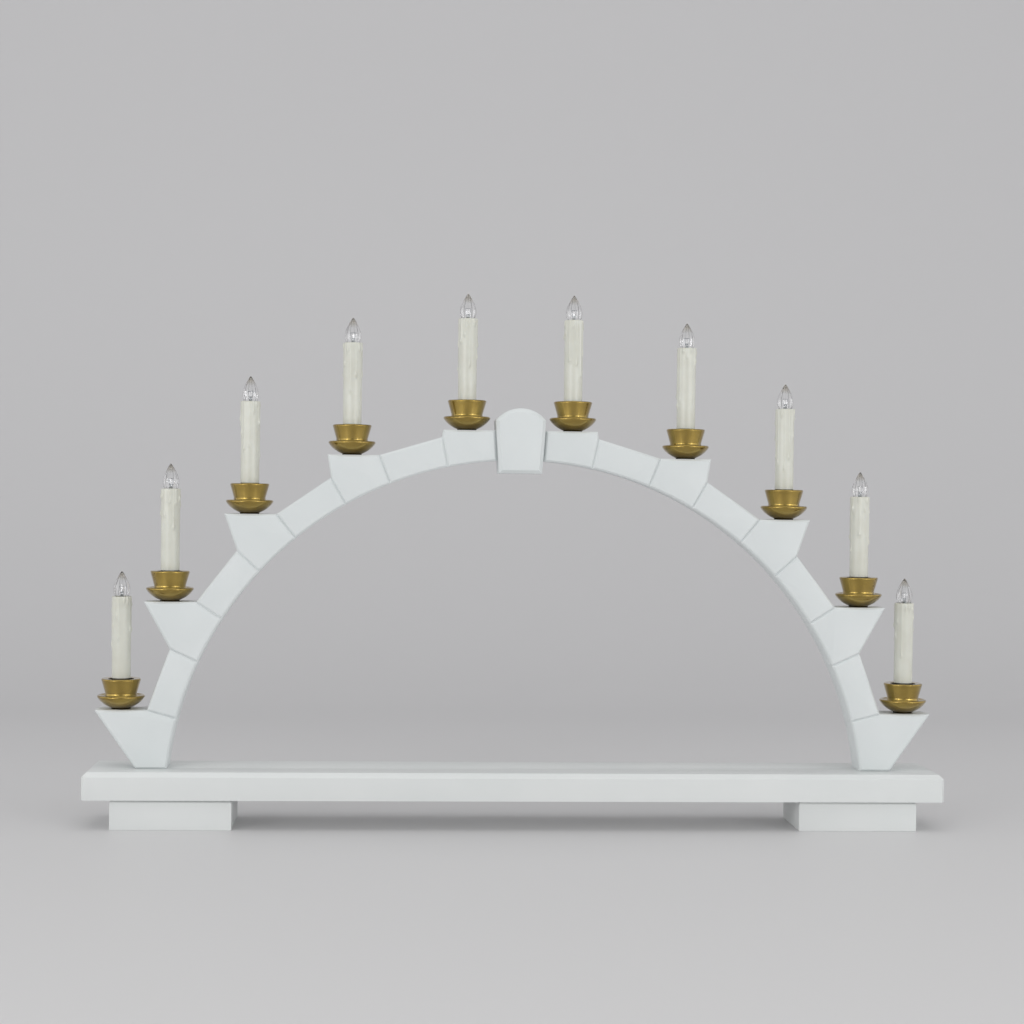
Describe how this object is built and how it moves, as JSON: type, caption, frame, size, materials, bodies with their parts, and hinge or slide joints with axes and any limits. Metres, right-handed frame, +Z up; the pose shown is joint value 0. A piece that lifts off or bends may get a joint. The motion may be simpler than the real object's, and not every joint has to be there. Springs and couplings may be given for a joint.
{
  "type": "electric candle arch",
  "caption": "Round white wooden candle arch of wedge stones on a footed plank, with gold drip cups, ivory candle sleeves and clear flame bulbs that screw out.",
  "frame": {"origin": "on the ground under the middle of the arch and of the plank's depth", "axes": "+X to the right along the plank, +Y to the rear, where the wires run, +Z up"},
  "size_m": [0.64, 0.068, 0.3996],
  "materials": {
    "white_lacquer": "satin white lacquer",
    "old_gold": "satin turned metal, old-gold",
    "ivory_plastic": "satin, moulded drips",
    "clear_glass": "clear, fluted",
    "cap_metal": "bright",
    "solder": "dull tin",
    "holder_plastic": "matt",
    "contact_brass": "bright",
    "wire_sheath": "soft sheath",
    "bare_wood": "bare beech",
    "screw_steel": "zinc plated"
  },
  "bodies": {
    "arch": {"base_plank": "white_lacquer", "foot_left": "white_lacquer", "foot_right": "white_lacquer", "candle_block_01": "white_lacquer", "candle_block_02": "white_lacquer", "candle_block_03": "white_lacquer", "candle_block_04": "white_lacquer", "candle_block_05": "white_lacquer", "candle_block_06": "white_lacquer", "candle_block_07": "white_lacquer", "candle_block_08": "white_lacquer", "candle_block_09": "white_lacquer", "candle_block_10": "white_lacquer", "arch_link_01": "white_lacquer", "arch_link_02": "white_lacquer", "arch_link_03": "white_lacquer", "arch_link_04": "white_lacquer", "arch_link_05": "white_lacquer", "arch_link_06": "white_lacquer", "arch_link_07": "white_lacquer", "arch_link_08": "white_lacquer", "keystone": "white_lacquer", "candle_sleeves": "ivory_plastic", "drip_cups": "old_gold", "lamp_holders": "holder_plastic", "lamp_contacts": "contact_brass", "lamp_wires": "wire_sheath", "joint_dowels": "bare_wood", "wood_screws": "screw_steel"},
    "bulb_lift_01": {"bulb_tip_01": "solder"},
    "bulb_turn_01": {"bulb_cap_01": "cap_metal", "bulb_glass_01": "clear_glass"},
    "bulb_lift_02": {"bulb_tip_02": "solder"},
    "bulb_turn_02": {"bulb_cap_02": "cap_metal", "bulb_glass_02": "clear_glass"},
    "bulb_lift_03": {"bulb_tip_03": "solder"},
    "bulb_turn_03": {"bulb_cap_03": "cap_metal", "bulb_glass_03": "clear_glass"},
    "bulb_lift_04": {"bulb_tip_04": "solder"},
    "bulb_turn_04": {"bulb_cap_04": "cap_metal", "bulb_glass_04": "clear_glass"},
    "bulb_lift_05": {"bulb_tip_05": "solder"},
    "bulb_turn_05": {"bulb_cap_05": "cap_metal", "bulb_glass_05": "clear_glass"},
    "bulb_lift_06": {"bulb_tip_06": "solder"},
    "bulb_turn_06": {"bulb_cap_06": "cap_metal", "bulb_glass_06": "clear_glass"},
    "bulb_lift_07": {"bulb_tip_07": "solder"},
    "bulb_turn_07": {"bulb_cap_07": "cap_metal", "bulb_glass_07": "clear_glass"},
    "bulb_lift_08": {"bulb_tip_08": "solder"},
    "bulb_turn_08": {"bulb_cap_08": "cap_metal", "bulb_glass_08": "clear_glass"},
    "bulb_lift_09": {"bulb_tip_09": "solder"},
    "bulb_turn_09": {"bulb_cap_09": "cap_metal", "bulb_glass_09": "clear_glass"},
    "bulb_lift_10": {"bulb_tip_10": "solder"},
    "bulb_turn_10": {"bulb_cap_10": "cap_metal", "bulb_glass_10": "clear_glass"}
  },
  "joints": [
    {"name": "bulb_01_rise", "type": "slide", "parent": "arch", "child": "bulb_lift_01", "axis": [0, 0, 1], "range_m": [0, 0.00634]},
    {"name": "bulb_01_unscrew", "type": "hinge", "parent": "bulb_lift_01", "child": "bulb_turn_01", "pos_m": [-0.29602, 0, 0.1], "axis": [0, 0, 1], "range_deg": [0, 1260]},
    {"name": "bulb_02_rise", "type": "slide", "parent": "arch", "child": "bulb_lift_02", "axis": [0, 0, 1], "range_m": [0, 0.00634]},
    {"name": "bulb_02_unscrew", "type": "hinge", "parent": "bulb_lift_02", "child": "bulb_turn_02", "pos_m": [-0.26043, 0, 0.1], "axis": [0, 0, 1], "range_deg": [0, 1260]},
    {"name": "bulb_03_rise", "type": "slide", "parent": "arch", "child": "bulb_lift_03", "axis": [0, 0, 1], "range_m": [0, 0.00634]},
    {"name": "bulb_03_unscrew", "type": "hinge", "parent": "bulb_lift_03", "child": "bulb_turn_03", "pos_m": [-0.20188, 0, 0.1], "axis": [0, 0, 1], "range_deg": [0, 1260]},
    {"name": "bulb_04_rise", "type": "slide", "parent": "arch", "child": "bulb_lift_04", "axis": [0, 0, 1], "range_m": [0, 0.00634]},
    {"name": "bulb_04_unscrew", "type": "hinge", "parent": "bulb_lift_04", "child": "bulb_turn_04", "pos_m": [-0.12598, 0, 0.1], "axis": [0, 0, 1], "range_deg": [0, 1260]},
    {"name": "bulb_05_rise", "type": "slide", "parent": "arch", "child": "bulb_lift_05", "axis": [0, 0, 1], "range_m": [0, 0.00634]},
    {"name": "bulb_05_unscrew", "type": "hinge", "parent": "bulb_lift_05", "child": "bulb_turn_05", "pos_m": [-0.03998, 0, 0.1], "axis": [0, 0, 1], "range_deg": [0, 1260]},
    {"name": "bulb_06_rise", "type": "slide", "parent": "arch", "child": "bulb_lift_06", "axis": [0, 0, 1], "range_m": [0, 0.00634]},
    {"name": "bulb_06_unscrew", "type": "hinge", "parent": "bulb_lift_06", "child": "bulb_turn_06", "pos_m": [0.03998, 0, 0.1], "axis": [0, 0, 1], "range_deg": [0, 1260]},
    {"name": "bulb_07_rise", "type": "slide", "parent": "arch", "child": "bulb_lift_07", "axis": [0, 0, 1], "range_m": [0, 0.00634]},
    {"name": "bulb_07_unscrew", "type": "hinge", "parent": "bulb_lift_07", "child": "bulb_turn_07", "pos_m": [0.12598, 0, 0.1], "axis": [0, 0, 1], "range_deg": [0, 1260]},
    {"name": "bulb_08_rise", "type": "slide", "parent": "arch", "child": "bulb_lift_08", "axis": [0, 0, 1], "range_m": [0, 0.00634]},
    {"name": "bulb_08_unscrew", "type": "hinge", "parent": "bulb_lift_08", "child": "bulb_turn_08", "pos_m": [0.20188, 0, 0.1], "axis": [0, 0, 1], "range_deg": [0, 1260]},
    {"name": "bulb_09_rise", "type": "slide", "parent": "arch", "child": "bulb_lift_09", "axis": [0, 0, 1], "range_m": [0, 0.00634]},
    {"name": "bulb_09_unscrew", "type": "hinge", "parent": "bulb_lift_09", "child": "bulb_turn_09", "pos_m": [0.26043, 0, 0.1], "axis": [0, 0, 1], "range_deg": [0, 1260]},
    {"name": "bulb_10_rise", "type": "slide", "parent": "arch", "child": "bulb_lift_10", "axis": [0, 0, 1], "range_m": [0, 0.00634]},
    {"name": "bulb_10_unscrew", "type": "hinge", "parent": "bulb_lift_10", "child": "bulb_turn_10", "pos_m": [0.29602, 0, 0.1], "axis": [0, 0, 1], "range_deg": [0, 1260]}
  ],
  "couplings": [
    {"joint": "bulb_01_unscrew", "follows": "bulb_01_rise", "rad_per_m": 3463.7},
    {"joint": "bulb_02_unscrew", "follows": "bulb_02_rise", "rad_per_m": 3463.7},
    {"joint": "bulb_03_unscrew", "follows": "bulb_03_rise", "rad_per_m": 3463.7},
    {"joint": "bulb_04_unscrew", "follows": "bulb_04_rise", "rad_per_m": 3463.7},
    {"joint": "bulb_05_unscrew", "follows": "bulb_05_rise", "rad_per_m": 3463.7},
    {"joint": "bulb_06_unscrew", "follows": "bulb_06_rise", "rad_per_m": 3463.7},
    {"joint": "bulb_07_unscrew", "follows": "bulb_07_rise", "rad_per_m": 3463.7},
    {"joint": "bulb_08_unscrew", "follows": "bulb_08_rise", "rad_per_m": 3463.7},
    {"joint": "bulb_09_unscrew", "follows": "bulb_09_rise", "rad_per_m": 3463.7},
    {"joint": "bulb_10_unscrew", "follows": "bulb_10_rise", "rad_per_m": 3463.7}
  ]
}
